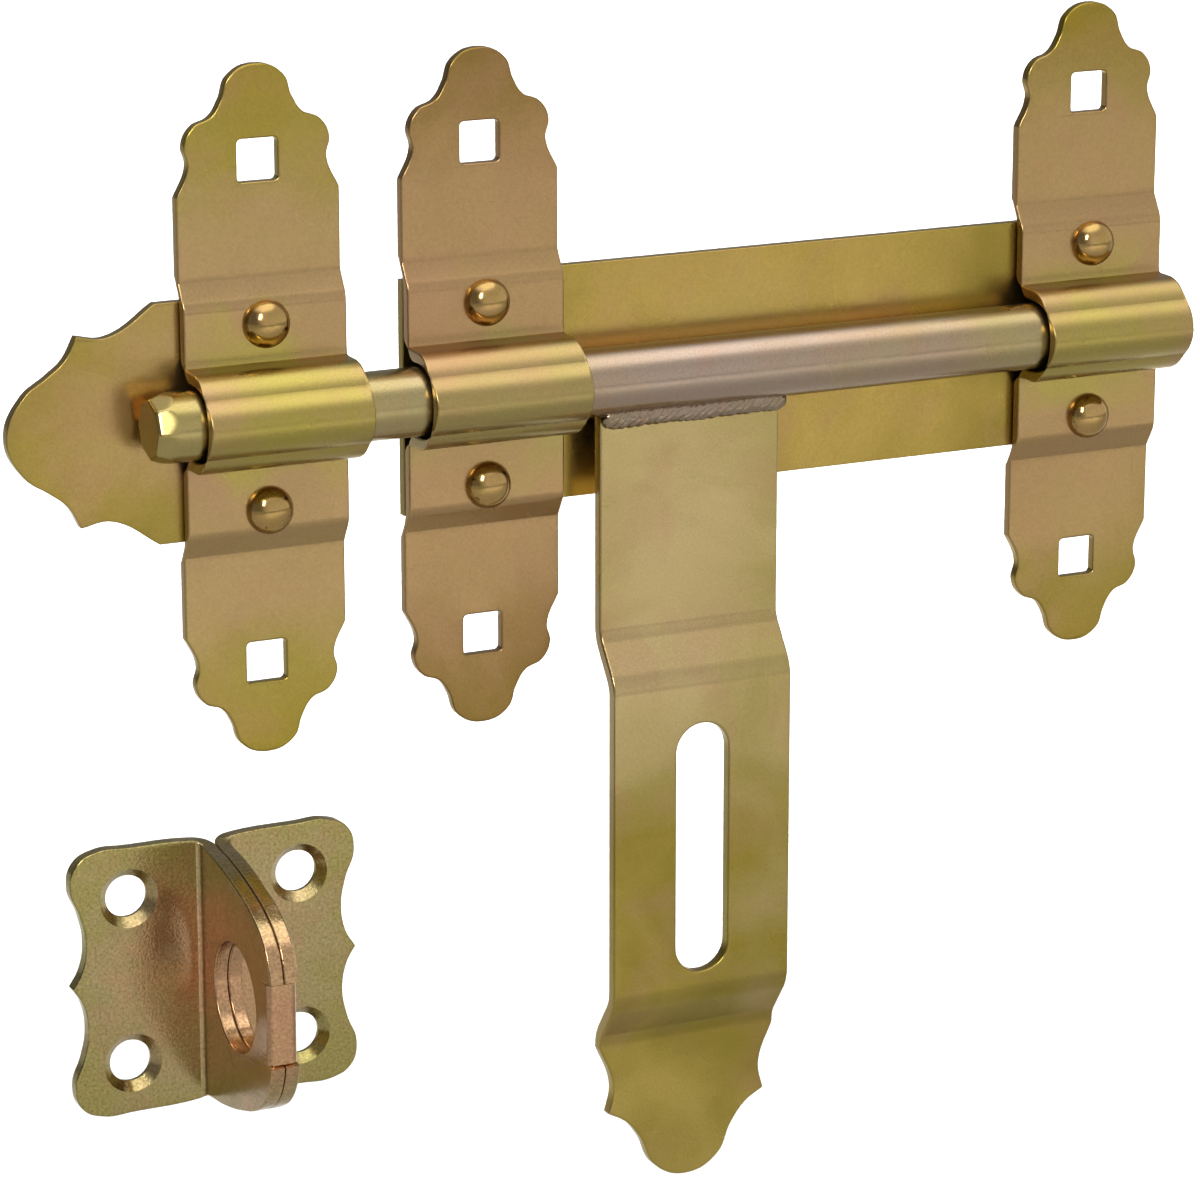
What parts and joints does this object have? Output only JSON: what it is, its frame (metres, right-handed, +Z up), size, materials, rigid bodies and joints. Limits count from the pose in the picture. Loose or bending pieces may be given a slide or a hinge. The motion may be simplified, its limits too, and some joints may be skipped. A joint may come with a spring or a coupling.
{
  "type": "barrel bolt",
  "caption": "Sliding gate bolt: a round bar through bridged straps with a slotted padlock hasp, plus a keeper and a separate padlock staple.",
  "frame": {"origin": "centre of the base plate's back face, on the mounting plane", "axes": "+X along the bar, away from the keeper, +Y into the door, +Z up"},
  "size_m": [0.2599, 0.0404, 0.2444],
  "materials": {
    "plated_sheet": "satin",
    "plated_strap": "satin",
    "plated_rivet": "polished",
    "plated_bar": "satin",
    "plated_hasp": "satin",
    "plated_weld": "rough",
    "plated_staple": "satin"
  },
  "bodies": {
    "mounting": {"base_plate": "plated_sheet", "keeper_plate": "plated_sheet", "keeper_strap": "plated_strap", "front_strap": "plated_strap", "rear_strap": "plated_strap", "keeper_rivet_upper": "plated_rivet", "keeper_rivet_lower": "plated_rivet", "front_rivet_upper": "plated_rivet", "front_rivet_lower": "plated_rivet", "rear_rivet_upper": "plated_rivet", "rear_rivet_lower": "plated_rivet", "padlock_staple": "plated_staple"},
    "bolt": {"bolt_bar": "plated_bar"},
    "hasp": {"hasp_plate": "plated_hasp", "weld_bead": "plated_weld"}
  },
  "joints": [
    {"name": "bolt_slide", "type": "slide", "parent": "mounting", "child": "bolt", "axis": [1, 0, 0], "range_m": [-0.0048, 0.0593]},
    {"name": "hasp_swing", "type": "hinge", "parent": "bolt", "child": "hasp", "pos_m": [-0.02795, -0.0098, 0.0011], "axis": [-1, 0, 0], "range_deg": [0, 180]}
  ]
}
